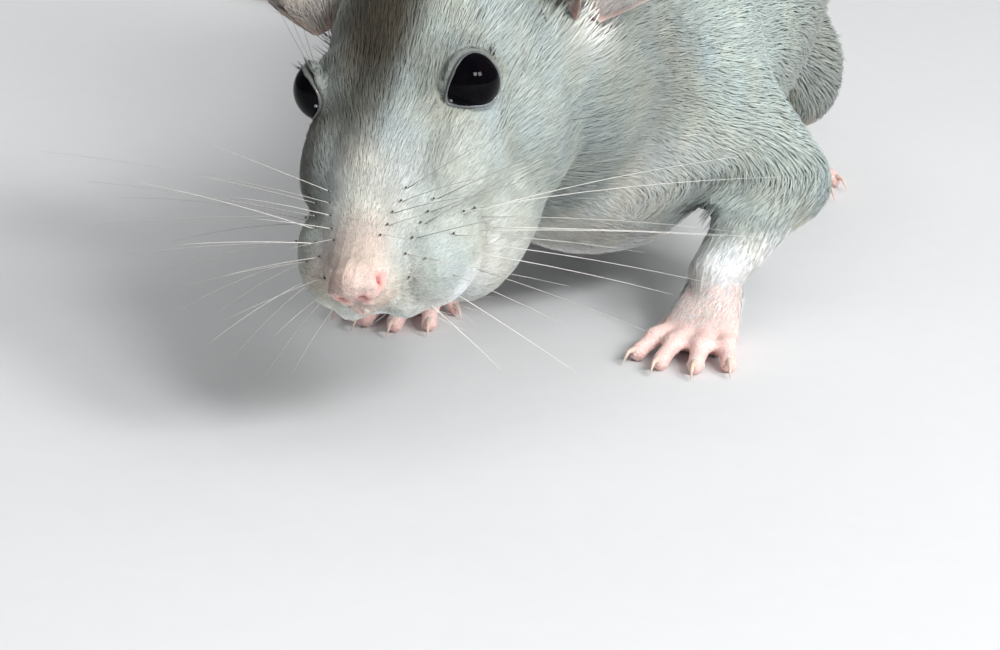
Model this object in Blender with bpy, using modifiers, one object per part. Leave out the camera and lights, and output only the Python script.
"""A life-size pet rat standing on four feet, head low and a little tilted, tail laid on the floor.

The rat faces -Y, its left side is +X and the floor is z = 0. Flesh is made of overlapping masses
that are fused, smoothed and then parted by thin cuts into the nodes that a person would name.
"""

import math

import bmesh
import bpy
import numpy as np
from mathutils import Matrix, Vector

MM = 0.001

# Driving dimensions, in millimetres
GAP = 0.3                     # between nodes that meet
SPINE_BOW = 20.0              # how far the spine bows to the rat's right, BOW_REACH from the shoulders
BOW_REACH = 75.0
BOW_START = -10.0             # the y where the bow is nil
HEAD_PLACE = (-6.0, -70.0, 40.0)   # midway between the eyeballs
HEAD_YAW, HEAD_PITCH, HEAD_ROLL = 2.0, -28.0, 10.0
EYE_APART, EYE_RAISE = 8.6, 1.3    # eyeball's centre from the middle of the head
EYE_RADIUS = 3.6
EYE_AXIS = (0.43, 0.74, 0.52)      # the way the left eye looks, in the head's frame
LID_OPENING = (3.35, 3.1)     # half length and half height of the opening between the lids
TAIL_LENGTH = 172.0
TAIL_ROOT_RADIUS, TAIL_TIP_RADIUS = 4.6, 1.1
TAIL_NODES = 5
EAR_HEIGHT, EAR_WIDTH, EAR_THICKNESS = 21.0, 20.0, 0.8
BIG = 300.0                   # reach of a cutting block

# Faces that each fused form keeps
HEAD_FACES, BODY_FACES, JAW_FACES = 3900, 2000, 400

# Head: along the snout from the nape, height of the middle, half width, rise, drop
HEAD_RINGS = [
    (-30.0, -6.0, 12.8, 9.4, 15.0),
    (-24.0, -6.0, 14.0, 12.6, 17.0),
    (-16.0, -6.4, 14.4, 14.8, 17.4),
    (-9.0, -7.2, 13.8, 15.4, 17.0),
    (-2.0, -8.6, 12.0, 15.2, 15.4),
    (5.0, -8.6, 10.4, 12.8, 13.8),
    (11.0, -8.6, 9.0, 10.4, 11.8),
    (16.0, -8.3, 7.5, 8.0, 9.4),
    (20.0, -7.6, 5.7, 5.6, 7.0),
    (23.0, -6.9, 3.8, 3.5, 4.4),
    (24.8, -6.7, 2.4, 2.2, 2.1),
]
# Trunk: along y, height of the middle, half width, rise, drop
TRUNK_RINGS = [
    (-55.0, 42.0, 17.0, 14.6, 17.4),
    (-43.0, 40.4, 19.4, 17.0, 22.0),
    (-30.0, 38.2, 21.2, 18.6, 26.8),
    (-16.0, 35.5, 21.6, 19.4, 28.5),
    (2.0, 35.5, 23.2, 22.0, 28.5),
    (20.0, 36.0, 25.8, 24.8, 28.0),
    (40.0, 36.5, 28.2, 26.6, 28.0),
    (60.0, 35.0, 28.2, 26.2, 27.0),
    (76.0, 30.8, 23.6, 22.4, 23.4),
    (87.0, 25.6, 16.6, 16.2, 18.4),
    (94.0, 20.4, 10.0, 10.0, 12.0),
    (100.0, 16.0, 6.2, 6.2, 7.0),
    (107.0, 13.0, 4.8, 4.8, 5.0),
]

COAT, BARE, EYE, HORN, TAIL_SKIN, EAR_SKIN = range(6)
FINISHES = {
    COAT: ("blue_grey_coat", (0.36, 0.37, 0.36), 0.85),
    BARE: ("bare_pink_skin", (0.80, 0.52, 0.48), 0.55),
    EYE: ("black_eye", (0.01, 0.01, 0.012), 0.05),
    HORN: ("claw_horn", (0.78, 0.70, 0.62), 0.4),
    TAIL_SKIN: ("tail_skin", (0.52, 0.44, 0.43), 0.6),
    EAR_SKIN: ("ear_skin", (0.66, 0.47, 0.44), 0.55),
}
finishes = {}


def clear_scene():
    for obj in list(bpy.data.objects):
        bpy.data.objects.remove(obj)


def finish(kind):
    """The Principled material of one kind of surface, made once."""
    if kind not in finishes:
        name, colour, roughness = FINISHES[kind]
        material = bpy.data.materials.new(name)
        material.use_nodes = True
        shader = material.node_tree.nodes["Principled BSDF"]
        shader.inputs["Base Color"].default_value = (*colour, 1.0)
        shader.inputs["Roughness"].default_value = roughness
        shader.inputs["Metallic"].default_value = 0.0
        finishes[kind] = material
    return finishes[kind]


def collection(name):
    made = bpy.data.collections.get(name)
    if made is None:
        made = bpy.data.collections.new(name)
        bpy.context.scene.collection.children.link(made)
    return made


# Placing

def head_matrix():
    """Head frame to world: x forward along the snout, y to the rat's left, z up."""
    forward_to_world = Matrix.Rotation(math.radians(-90 + HEAD_YAW), 4, "Z")
    pitch = Matrix.Rotation(math.radians(-HEAD_PITCH), 4, "Y")
    roll = Matrix.Rotation(math.radians(HEAD_ROLL), 4, "X")
    return Matrix.Translation(Vector(HEAD_PLACE)) @ forward_to_world @ pitch @ roll


HEAD = head_matrix()


def head_point(f, left, up):
    return HEAD @ Vector((f, left, up))


def bow(y):
    """How far the spine lies to the side at y: a parabola from the shoulders."""
    return -SPINE_BOW * ((y - BOW_START) / BOW_REACH) ** 2


def trunk_frame(y):
    """(across, along) unit vectors of the bowed trunk at y, level with the floor."""
    slope = -2 * SPINE_BOW * (y - BOW_START) / BOW_REACH**2
    along = Vector((slope, 1.0, 0.0)).normalized()
    return Vector((along.y, -along.x, 0.0)), along


def flank(side, out, y, z):
    """A point beside the bowed spine: out from it on the left (side 1) or right (-1)."""
    across, _ = trunk_frame(y)
    return Vector((bow(y), y, z)) + across * (side * out)


# Masses

def mesh_object(name, bm, where="masses"):
    mesh = bpy.data.meshes.new(name)
    bm.to_mesh(mesh)
    bm.free()
    obj = bpy.data.objects.new(name, mesh)
    collection(where).objects.link(obj)
    return obj


def ring_points(centre, across, upward, half_width, rise, drop, sides):
    """One section: an ellipse whose upper and lower halves have their own heights."""
    angles = [2 * math.pi * i / sides for i in range(sides)]
    points = []
    for angle in angles:
        height = (rise if math.sin(angle) > 0 else drop) * math.sin(angle)
        points.append(centre + across * (half_width * math.cos(angle)) + upward * height)
    return points


def loft(name, rings):
    """A closed skin over sections that differ, each a list of as many points."""
    bm = bmesh.new()
    rows = [[bm.verts.new(p * MM) for p in ring] for ring in rings]
    sides = len(rows[0])
    for lower, upper in zip(rows, rows[1:]):
        for i in range(sides):
            k = (i + 1) % sides
            bm.faces.new((lower[i], lower[k], upper[k], upper[i]))
    bm.faces.new(rows[0][::-1])
    bm.faces.new(rows[-1])
    bmesh.ops.recalc_face_normals(bm, faces=bm.faces)
    return mesh_object(name, bm)


def ball(name, centre, radii, turn=None, segments=24):
    """An ellipsoid with its own radii, turned by a matrix about its centre."""
    bm = bmesh.new()
    place = Matrix.Translation(centre * MM) @ (turn or Matrix.Identity(4))
    place = place @ Matrix.Diagonal((*(r * MM for r in radii), 1.0))
    bmesh.ops.create_uvsphere(bm, u_segments=segments, v_segments=segments // 2, radius=1.0, matrix=place)
    return mesh_object(name, bm)


def head_ball(name, f, left, up, radii):
    return ball(name, head_point(f, left, up), radii, HEAD.to_3x3().to_4x4())


def limb(name, points, radii, sides=10, closed=False, steps=3):
    """A round tube through the points, with a radius at each, made a closed mesh."""
    curve = bpy.data.curves.new(name, "CURVE")
    curve.dimensions = "3D"
    curve.bevel_depth = MM
    curve.bevel_resolution = max(0, sides // 2 - 2)
    curve.use_fill_caps = not closed
    curve.resolution_u = steps
    spline = curve.splines.new("NURBS" if len(points) > 3 and not closed else "POLY")
    spline.points.add(len(points) - 1)
    for knot, point, radius in zip(spline.points, points, radii):
        knot.co = (*(point * MM), 1.0)
        knot.radius = radius
    spline.use_cyclic_u = closed
    spline.use_endpoint_u = True
    spline.order_u = 3
    holder = bpy.data.objects.new(name + "_curve", curve)
    collection("masses").objects.link(holder)
    graph = bpy.context.evaluated_depsgraph_get()
    mesh = bpy.data.meshes.new_from_object(holder.evaluated_get(graph))
    bm = bmesh.new()
    bm.from_mesh(mesh)
    bmesh.ops.remove_doubles(bm, verts=bm.verts, dist=0.002 * MM)
    bmesh.ops.recalc_face_normals(bm, faces=bm.faces)
    bpy.data.objects.remove(holder)
    return mesh_object(name, bm)


# Fusing and cutting

def settle(obj):
    """Applies the object's modifiers to its mesh."""
    graph = bpy.context.evaluated_depsgraph_get()
    mesh = bpy.data.meshes.new_from_object(obj.evaluated_get(graph))
    obj.modifiers.clear()
    obj.data = mesh
    return obj


def keep_largest(obj):
    """Drops every closed surface but the largest."""
    bm = bmesh.new()
    bm.from_mesh(obj.data)
    left, shells = set(bm.faces), []
    while left:
        shell, front = set(), {left.pop()}
        while front:
            shell |= front
            front = {f for g in front for e in g.edges for f in e.link_faces} & left
            left -= front
        shells.append(shell)
    shells.sort(key=lambda shell: sum(f.calc_area() for f in shell))
    doomed = [f for shell in shells[:-1] for f in shell]
    bmesh.ops.delete(bm, geom=doomed, context="FACES")
    bm.to_mesh(obj.data)
    bm.free()
    return obj


def joined(name, pieces, where="masses"):
    """The pieces' meshes in one object, still overlapping."""
    bm = bmesh.new()
    for piece in pieces:
        bm.from_mesh(piece.data)
        bpy.data.objects.remove(piece)
    return mesh_object(name, bm, where)


def fused(name, pieces, voxel, smoothing, faces):
    """One smooth closed surface round overlapping masses, thinned to about so many faces."""
    obj = joined(name, pieces)
    remesh = obj.modifiers.new("grow_together", "REMESH")
    remesh.mode = "VOXEL"
    remesh.voxel_size = voxel * MM
    smooth = obj.modifiers.new("soften", "SMOOTH")
    smooth.factor = 0.5
    smooth.iterations = smoothing
    settle(obj)
    keep_largest(obj)
    thin = obj.modifiers.new("thin_out", "DECIMATE")
    thin.ratio = min(1.0, faces / (2 * len(obj.data.polygons)))
    thin.use_collapse_triangulate = True
    return settle(obj)


def boolean(obj, operation, tools):
    """Cuts, keeps the inside of, or joins closed meshes, one tool after another.

    The masses are dense and closed, and the MANIFOLD solver cuts such meshes much faster than EXACT.
    """
    for tool in tools:
        modifier = obj.modifiers.new(operation.lower(), "BOOLEAN")
        modifier.operation = operation
        modifier.solver = "MANIFOLD"
        modifier.object = tool
        settle(obj)
    return keep_largest(obj)


def union(name, pieces):
    """Joins closed meshes by one Boolean union on their collection."""
    others = collection(name + "_pieces")
    base = pieces[0]
    for piece in pieces[1:]:
        collection("masses").objects.unlink(piece)
        others.objects.link(piece)
    modifier = base.modifiers.new("join", "BOOLEAN")
    modifier.operation = "UNION"
    modifier.solver = "MANIFOLD"
    modifier.operand_type = "COLLECTION"
    modifier.collection = others
    settle(base)
    for piece in pieces[1:]:
        bpy.data.objects.remove(piece)
    bpy.data.collections.remove(others)
    base.name = name
    return keep_largest(base)


def block(name, point, normal):
    """A large block whose near face passes through the point, on the side the normal points to."""
    bm = bmesh.new()
    turn = Vector(normal).to_track_quat("Z", "Y").to_matrix().to_4x4()
    place = Matrix.Translation(Vector(point) * MM) @ turn @ Matrix.Translation((0, 0, BIG * MM))
    bmesh.ops.create_cube(bm, size=2 * BIG * MM, matrix=place)
    return hidden(mesh_object(name, bm, "cutters"))


def hidden(obj):
    obj.hide_render = True
    obj.display_type = "WIRE"
    return obj


def copy_of(obj, name):
    twin = bpy.data.objects.new(name, obj.data.copy())
    collection("masses").objects.link(twin)
    return twin


def node(obj, name, kind):
    """Makes a finished mesh one of the rat's named parts."""
    for holder in list(obj.users_collection):
        holder.objects.unlink(obj)
    collection("pet_rat").objects.link(obj)
    obj.name = name
    obj.data.name = name
    obj.data.materials.clear()
    obj.data.materials.append(finish(kind))
    obj.data.shade_smooth()
    return obj


# Head

def head_loft(name):
    """The skull and snout under their coat."""
    rings = []
    for f, up, half_width, rise, drop in HEAD_RINGS:
        across = HEAD.to_3x3() @ Vector((0, 1, 0))
        upward = HEAD.to_3x3() @ Vector((0, 0, 1))
        rings.append(ring_points(head_point(f, 0, up), across, upward, half_width, rise, drop, 28))
    return loft(name, rings)


def trunk_loft(name, rows):
    """The neck, chest, belly and rump along the bowed spine."""
    rings = []
    for y, height, half_width, rise, drop in rows:
        across, _ = trunk_frame(y)
        middle = Vector((bow(y), y, height))
        rings.append(ring_points(middle, across, Vector((0, 0, 1)), half_width, rise, drop, 32))
    return loft(name, rings)


def eye_frame(side):
    """The eyeball's centre, the way it looks, and the lids' directions forward and up, in the world."""
    centre = head_point(0, side * EYE_APART, EYE_RAISE)
    looks = Vector((EYE_AXIS[0], side * EYE_AXIS[1], EYE_AXIS[2])).normalized()
    ahead = (Vector((1, 0, 0)) - looks * looks.x).normalized()
    above = Vector((0, 0, 1)) - looks * looks.z
    above = (above - ahead * above.dot(ahead)).normalized()
    turn = HEAD.to_3x3()
    return centre, turn @ looks, turn @ ahead, turn @ above


def lid_ring(side):
    """The lids' rim: a rounded ridge round the eye that draws out to a corner in front."""
    corner_tilt, corner_reach, corner_width = math.radians(18), 0.9, 0.36
    rim_radius, rim_clear, knots = 0.62, 0.15, 28
    centre, looks, ahead, above = eye_frame(side)
    points = []
    for i in range(knots):
        angle = 2 * math.pi * i / knots
        off_corner = math.atan2(math.sin(angle - corner_tilt), math.cos(angle - corner_tilt))
        reach = corner_reach * math.exp(-((off_corner / corner_width) ** 2))
        x = (LID_OPENING[0] + reach) * math.cos(angle)
        y = (LID_OPENING[1] + reach * 0.4) * math.sin(angle)
        height = math.sqrt(max((EYE_RADIUS + rim_clear) ** 2 - x * x - y * y, 1.2))
        points.append(centre + looks * height + ahead * x + above * y)
    return limb(f"lids_{side}", points, [rim_radius] * knots, sides=8, closed=True)


def head_masses():
    masses = [head_loft("skull"), trunk_loft("nape", TRUNK_RINGS[:4])]
    for side in (1, -1):
        masses += [
            *cheeks(side),
            head_ball("brow", -2.0, side * 5.2, 2.0, (6.6, 4.4, 3.8)),
            head_ball("under_eye", 3.0, side * 6.8, -5.4, (11.0, 5.8, 7.0)),
            head_ball("whisker_pad", 13.8, side * 5.2, -9.4, (8.6, 5.6, 6.6)),
            head_ball("upper_lip", 18.9, side * 3.0, -10.8, (4.8, 3.3, 3.4)),
            head_ball("jowl", 1.0, side * 5.6, -15.4, (15.0, 7.2, 7.8)),
            orbit(side),
            head_ball("nose_wing", 23.9, side * 1.75, -5.9, (1.9, 1.35, 1.6)),
            lid_ring(side),
        ]
    masses.append(head_ball("nose_bulb", 24.0, 0.0, -5.2, (2.3, 2.3, 2.0)))
    return masses


def orbit(side):
    """The shallow mound that carries the lids."""
    centre, looks, _, _ = eye_frame(side)
    turn = looks.to_track_quat("Z", "Y").to_matrix().to_4x4()
    return ball("orbit", centre - looks * 0.6, (5.3, 5.0, 3.0), turn)


def cheeks(side):
    """The cheek's bulge, and the softer mass behind it that carries the face on into the neck."""
    return [head_ball("cheek", -9.0, side * 7.8, -10.6, (12.5, 7.8, 12.0)),
            head_ball("side_of_neck", -21.0, side * 8.4, -10.0, (13.0, 8.8, 12.5))]


def jaw_mass():
    """The lower jaw: a small wedge whose tip lies well behind the nose."""
    rings = []
    for f, up, half_width, rise, drop in [
        (-6.0, -19.0, 4.6, 2.0, 2.4),
        (0.0, -20.0, 6.0, 3.0, 3.8),
        (7.0, -18.8, 5.8, 3.0, 3.6),
        (13.0, -17.0, 4.6, 2.5, 3.0),
        (16.6, -15.8, 3.3, 1.9, 2.3),
        (18.8, -15.2, 1.6, 1.0, 1.2),
    ]:
        turn = HEAD.to_3x3()
        across, upward = turn @ Vector((0, 1, 0)), turn @ Vector((0, 0, 1))
        rings.append(ring_points(head_point(f, 0, up), across, upward, half_width, rise, drop, 20))
    return loft("jaw", rings)


def nostril_cutter(side):
    """A comma-shaped pit that curls back round the nose's wing."""
    path = [(26.2, 0.95, -6.5), (25.0, 1.35, -6.2), (24.2, 2.2, -5.9), (23.8, 3.1, -5.3), (23.6, 3.9, -4.6)]
    points = [head_point(f, side * left, up) for f, left, up in path]
    return hidden(limb(f"nostril_{side}", points, [0.42, 0.46, 0.42, 0.34, 0.2], sides=8))


def grown(obj, name, distance):
    """A copy of a closed mesh swollen outwards by the distance."""
    twin = copy_of(obj, name)
    swell = twin.modifiers.new("swell", "DISPLACE")
    swell.strength = distance * MM
    swell.mid_level = 0.0
    return hidden(settle(twin))


def ear(side):
    """A thin round cup that narrows to a rolled root; the right one stands more upright."""
    rows, columns = 11, 13
    root = (-19.0, 14.4, -4.2)
    lean = (-0.36, 0.57, 0.73) if side > 0 else (-0.36, -0.35, 0.86)
    waist, widest = 0.60, 0.46
    edge_curl, root_curl = math.radians(30), math.radians(96)
    turn = HEAD.to_3x3()
    up = (turn @ Vector(lean)).normalized()
    front = turn @ Vector((0.56, side * 0.80, 0.10))
    front = (front - up * front.dot(up)).normalized()
    across = up.cross(front)
    base = head_point(root[0], side * root[1], root[2])
    bm = bmesh.new()
    grid = []
    for i in range(rows):
        u = i / (rows - 1) * 0.985
        if u > widest:
            share = math.sqrt(1 - ((u - widest) / (1 - widest)) ** 2)
        else:
            share = waist + (1 - waist) * math.sin(math.pi / 2 * u / widest)
        curl = edge_curl + root_curl * (1 - u) ** 1.5
        radius = EAR_WIDTH / 2 * share / curl
        row = []
        for j in range(columns):
            angle = curl * (2 * j / (columns - 1) - 1)
            forward = radius * (1 - math.cos(angle)) + 2.2 * u * u
            point = base + up * (EAR_HEIGHT * u) + across * (radius * math.sin(angle)) + front * forward
            row.append(bm.verts.new(point * MM))
        grid.append(row)
    for lower, upper in zip(grid, grid[1:]):
        for j in range(columns - 1):
            bm.faces.new((lower[j], lower[j + 1], upper[j + 1], upper[j]))
    bmesh.ops.triangulate(bm, faces=bm.faces)
    obj = mesh_object(f"ear_{side}", bm)
    wall = obj.modifiers.new("wall", "SOLIDIFY")
    wall.thickness = EAR_THICKNESS * MM
    wall.offset = 0.0
    settle(obj)
    bm = bmesh.new()
    bm.from_mesh(obj.data)
    bmesh.ops.recalc_face_normals(bm, faces=bm.faces)
    bmesh.ops.triangulate(bm, faces=bm.faces)
    bm.to_mesh(obj.data)
    bm.free()
    return obj


# Limbs

FORELEG = {
    "shoulder": (14.6, -17.5, 32.0), "shoulder_radii": (10.0, 12.5, 15.5),
    "elbow": (23.4, -7.5, 17.0), "wrist": (19.4, -22.0, 8.4),
    "radii": (9.4, 7.2, 4.1),
}
HINDLEG = {
    "thigh": (17.5, 54.0, 27.0), "thigh_radii": (12.6, 19.0, 19.0),
    "knee": (22.0, 39.0, 19.0), "knee_radii": (8.0, 10.0, 10.0),
    "hock": (18.5, 61.0, 8.6), "radii": (8.6, 4.6),
}


def leg_masses(side):
    """Shoulder, upper arm and forearm, then thigh, knee and shank, on one side."""
    fore, hind = FORELEG, HINDLEG
    shoulder, elbow, wrist = (flank(side, *fore[k]) for k in ("shoulder", "elbow", "wrist"))
    thigh, knee, hock = (flank(side, *hind[k]) for k in ("thigh", "knee", "hock"))
    middle = (elbow + wrist) / 2
    return [
        ball("shoulder", shoulder, fore["shoulder_radii"]),
        limb("upper_arm", [shoulder, elbow], fore["radii"][:2], sides=16),
        ball("elbow", elbow, (fore["radii"][1],) * 3),
        limb("forearm", [elbow, middle, wrist], (fore["radii"][1] - 0.4, 4.9, fore["radii"][2]), sides=16),
        ball("wrist", wrist, (fore["radii"][2],) * 3, segments=16),
        ball("thigh", thigh, hind["thigh_radii"]),
        ball("knee", knee, hind["knee_radii"]),
        limb("shank", [knee, (knee + hock) / 2, hock], (hind["radii"][0], 6.6, hind["radii"][1]), sides=16),
        ball("hock", hock, (hind["radii"][1],) * 3, segments=16),
    ]


# A paw's sections: along from the wrist or heel, height of the middle, half width, rise, drop
FOREPAW = {
    "sections": [(-2.0, 6.6, 3.0, 2.6, 4.4), (0.4, 5.8, 3.6, 3.0, 4.6), (3.0, 4.2, 4.2, 2.7, 4.0),
                 (5.8, 3.0, 4.8, 2.1, 3.3), (7.8, 2.4, 4.5, 1.5, 2.5)],
    # along and across at the root, splay in degrees, length, radius
    "digits": [(6.8, -3.6, -22, 6.8, 1.25), (7.4, -1.3, -7, 8.2, 1.3), (7.4, 1.3, 7, 8.0, 1.3),
               (6.8, 3.6, 21, 6.6, 1.25), (3.6, -4.3, -46, 2.6, 0.95)],
    "turn_out": 2.0, "ankle_follows": 1.0,
}
HINDPAW = {
    "sections": [(-4.2, 4.6, 2.8, 2.8, 4.0), (0.6, 4.9, 3.6, 4.4, 5.0), (6.0, 3.9, 3.5, 3.4, 4.1),
                 (14.0, 3.2, 3.9, 2.8, 3.5), (20.0, 2.8, 4.8, 2.3, 3.1), (24.4, 2.4, 4.6, 1.6, 2.6)],
    "digits": [(20.6, -4.0, -28, 5.8, 1.25), (23.2, -2.4, -10, 8.8, 1.35), (23.8, 0.0, 0, 9.6, 1.35),
               (23.4, 2.3, 9, 9.0, 1.35), (21.2, 4.1, 23, 6.8, 1.25)],
    "turn_out": 4.0, "ankle_follows": 0.0,
}


def ankle_plane(upper, lower, follow):
    """Where a leg ends and its paw begins: a point short of the joint, and the way down to the paw."""
    down_leg = (lower - upper).normalized()
    return lower - down_leg * 2.0, (down_leg * follow + Vector((0, 0, -1))).normalized()


def paw(name, side, upper, lower, girth, shape):
    """A paw flat on the floor: the end of its leg, palm or sole, digits with a raised knuckle, claws."""
    claw_length, claw_radius, knuckle, toe_drop = 2.0, 0.42, 0.45, 0.35
    across, along = trunk_frame(lower.y)
    turn = Matrix.Rotation(side * math.radians(shape["turn_out"]), 3, "Z")
    ahead, out, up = turn @ -along, turn @ across * side, Vector((0, 0, 1))
    spot = Vector((lower.x, lower.y, 0.0))

    def at(forward, outward, height):
        return spot + ahead * forward + out * outward + up * height

    rings = [ring_points(at(f, 0, h), out, up, width, rise, drop, 14)
             for f, h, width, rise, drop in shape["sections"]]
    shank_end = [lower + (upper - lower).normalized() * 12.0, lower, at(1.2, 0, lower.z * 0.55)]
    shank_girths = [girth * 1.1, girth, girth * 0.8]
    pieces = [loft(name, rings), limb(f"{name}_shank", shank_end, shank_girths, sides=12)]
    for i, (forward, outward, splay, length, radius) in enumerate(shape["digits"]):
        heading = Matrix.Rotation(math.radians(splay), 2) @ Vector((1.0, 0.0))

        def toe(share, height):
            reach = heading * length * share
            return at(forward + reach.x, outward + reach.y, height)

        low = radius - toe_drop
        path = [toe(-0.35, 2.3), toe(0.1, 2.5), toe(knuckle, radius + 1.3),
                toe(0.8, low + 0.35), toe(0.97, low + 0.1), toe(1.05, low)]
        girths = [radius, radius * 1.05, radius * 1.02, radius * 0.9, radius * 0.75, radius * 0.3]
        pieces.append(limb(f"{name}_digit_{i}", path, girths, sides=6, steps=1))
        tip = length + claw_length
        share = tip / length
        claw = [toe(0.88, low + 0.45), toe((1 + share) / 2, low + 0.5), toe(share, toe_drop * 0.2 + 0.15)]
        pieces.append(limb(f"{name}_claw_{i}", claw, [claw_radius, claw_radius * 0.75, 0.1], sides=4))
    return union(name, pieces)


def tail_path(s):
    """A point of the tail's middle at s from its root: down to the floor, then laid in a long curve."""
    steps = max(2, int(s / 2) + 2)
    root_y, root_height, sweep, unbend = 99.0, 15.6, 34.0, 62.0
    _, along = trunk_frame(root_y)
    heading0 = math.atan2(along.y, along.x)
    point = Vector((bow(root_y), root_y, 0.0))
    descent = 30.0
    for i in range(steps):
        part = (i + 0.5) / steps * s
        share = part / TAIL_LENGTH
        heading = heading0 + math.radians(sweep * math.sin(math.pi * share) - unbend * share**2 / 2)
        lean = 0.84 if part < descent else 1.0
        point += Vector((math.cos(heading), math.sin(heading), 0.0)) * (s / steps * lean)
    share = min(s / descent, 1.0)
    floor_height = tail_radius(s) - 0.15
    drop = 0.5 + 0.5 * math.cos(math.pi * share)
    point.z = floor_height + (root_height - floor_height) * drop
    return point


def tail_radius(s):
    share = s / TAIL_LENGTH
    end = max(0.0, (share - 0.985) / 0.015)
    return (TAIL_ROOT_RADIUS + (TAIL_TIP_RADIUS - TAIL_ROOT_RADIUS) * share**0.8) * (1 - 0.6 * end)


def tail_node(i):
    """One length of the tail, a tube between two faces square to its path."""
    first = TAIL_LENGTH * i / TAIL_NODES + (GAP / 2 if i else 0)
    last = TAIL_LENGTH * (i + 1) / TAIL_NODES - (GAP / 2 if i < TAIL_NODES - 1 else 0)
    knots = 9
    stops = [first + (last - first) * k / (knots - 1) for k in range(knots)]
    rings = []
    for s in stops:
        along = (tail_path(s + 0.2) - tail_path(s - 0.2 if s > 0.2 else s)).normalized()
        across = Vector((0, 0, 1)).cross(along).normalized()
        rings.append(ring_points(tail_path(s), across, along.cross(across), *(tail_radius(s),) * 3, 12))
    return loft(f"tail_{i + 1}", rings)


# The whole rat

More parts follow.
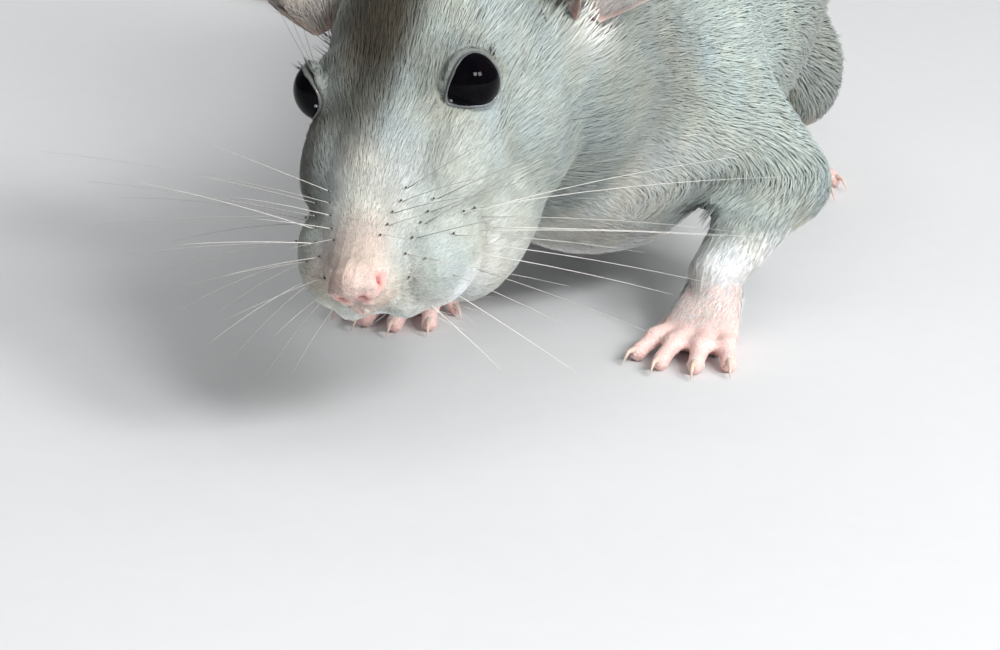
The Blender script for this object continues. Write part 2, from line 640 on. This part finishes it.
def build():
    clear_scene()
    sides = {"left": 1, "right": -1}
    floor = block("floor", (0, 0, 0), (0, 0, -1))

    body_masses = [trunk_loft("trunk", TRUNK_RINGS), head_loft("head_core")]
    for side in sides.values():
        body_masses += [*leg_masses(side), *cheeks(side)]
    body = fused("body", body_masses, 1.0, 14, BODY_FACES)
    head = fused("head", head_masses(), 0.42, 9, HEAD_FACES)
    jaw = fused("jaw", [jaw_mass()], 0.5, 4, JAW_FACES)

    snout = HEAD.to_3x3() @ Vector((1, 0, 0))
    nape = head_point(-24.0, 0, 0)
    head_only = block("ahead_of_nape", nape + snout * GAP / 2, -snout)
    behind_head = block("behind_nape", nape - snout * GAP / 2, snout)
    collar, rear = Vector((bow(-36), -36.0, 36.0)), Vector((0.0, 1.0, -0.25)).normalized()
    before_collar = block("before_collar", collar - rear * GAP / 2, rear)
    behind_collar = block("behind_collar", collar + rear * GAP / 2, -rear)
    tail_way = (tail_path(1.0) - tail_path(0.0)).normalized()
    rump_end = block("rump_end", tail_path(0.0) - tail_way * GAP, tail_way)

    # Head, parted at the nape, with its sockets, nostrils and the mouth's seam
    sockets = [hidden(ball("socket", eye_frame(side)[0], (EYE_RADIUS + GAP,) * 3, segments=20))
               for side in sides.values()]
    nostrils = [nostril_cutter(side) for side in sides.values()]
    boolean(head, "DIFFERENCE", [head_only, before_collar])
    head_swollen = grown(head, "head_swollen", GAP)
    boolean(head, "DIFFERENCE", [*sockets, grown(jaw, "jaw_bed", GAP), *nostrils])
    nose_root, facing = head_point(23.0, 0, -7.5), HEAD.to_3x3() @ Vector((0.92, 0, 0.4)).normalized()
    behind_nose = block("behind_nose", nose_root + facing * GAP / 2, -facing)
    ahead_of_nose = block("ahead_of_nose", nose_root - facing * GAP / 2, facing)
    nose = boolean(copy_of(head, "nose_part"), "DIFFERENCE", [behind_nose])
    boolean(head, "DIFFERENCE", [ahead_of_nose])
    node(nose, "nose", BARE)

    for word, side in sides.items():
        eye = ball(f"eyeball_{word}", eye_frame(side)[0], (EYE_RADIUS,) * 3, segments=16)
        node(eye, f"eye_{word}", EYE)
        shell = boolean(ear(side), "DIFFERENCE", [head_swollen])
        node(shell, f"ear_{word}", EAR_SKIN)

    node(jaw, "lower_jaw", COAT)
    node(head, "head", COAT)

    # Neck and trunk
    neck = boolean(copy_of(body, "neck_part"), "DIFFERENCE", [behind_head, before_collar])
    node(neck, "neck", COAT)
    torso = boolean(copy_of(body, "torso_part"), "DIFFERENCE", [behind_collar, rump_end])

    # Legs, parted from the trunk round each shoulder and thigh, and paws at wrist and hock
    for word, side in sides.items():
        for limb_name, region, leg, upper_key, lower_key, shape, foot_name in (
            ("foreleg", foreleg_region, FORELEG, "elbow", "wrist", FOREPAW, "forepaw"),
            ("hindleg", hindleg_region, HINDLEG, "knee", "hock", HINDPAW, "hindfoot"),
        ):
            upper, lower = flank(side, *leg[upper_key]), flank(side, *leg[lower_key])
            ankle, way_down = ankle_plane(upper, lower, shape["ankle_follows"])
            above_ankle = block("above_ankle", ankle - way_down * GAP / 2, way_down)
            below_ankle = block("below_ankle", ankle + way_down * GAP / 2, -way_down)
            flesh = boolean(copy_of(body, limb_name), "INTERSECT", [region(side, 0.0)])
            boolean(flesh, "DIFFERENCE", [above_ankle])
            node(flesh, f"{limb_name}_{word}", COAT)
            boolean(torso, "DIFFERENCE", [region(side, GAP), foot_room(lower)])
            foot = paw(foot_name, side, upper, lower, leg["radii"][-1], shape)
            boolean(foot, "DIFFERENCE", [below_ankle, floor])
            node(foot, f"{foot_name}_{word}", BARE)
    node(torso, "torso", COAT)

    for i in range(TAIL_NODES):
        length = tail_node(i)
        boolean(length, "DIFFERENCE", [floor])
        node(length, f"tail_{i + 1}", TAIL_SKIN)
    for leftover in list(collection("masses").objects):
        bpy.data.objects.remove(leftover)
    centre_on_floor()


def foot_room(joint):
    """The space round a heel or wrist that the trunk leaves to the paw."""
    return hidden(ball("foot_room", Vector((joint.x, joint.y, 0.0)), (8.0, 12.0, 11.5)))


def centre_on_floor():
    """Moves the whole rat so that its box stands with the middle of its bottom at the origin."""
    nodes = list(collection("pet_rat").objects)
    corners = np.array([v.co for obj in nodes for v in obj.data.vertices])
    low, high = corners.min(axis=0), corners.max(axis=0)
    shift = Matrix.Translation((-(low[0] + high[0]) / 2, -(low[1] + high[1]) / 2, -low[2]))
    for obj in nodes:
        obj.data.transform(shift)


def foreleg_region(side, more):
    """What counts as the foreleg: round the shoulder and down past the wrist."""
    middle = flank(side, 22.5, -13.0, 20.0)
    return hidden(ball("foreleg_region", middle, (12.5 + more, 17.0 + more, 21.0 + more), segments=28))


def hindleg_region(side, more):
    middle = flank(side, 26.0, 51.5, 17.0)
    return hidden(ball("hindleg_region", middle, (17.0 + more, 29.0 + more, 24.5 + more), segments=28))


build()
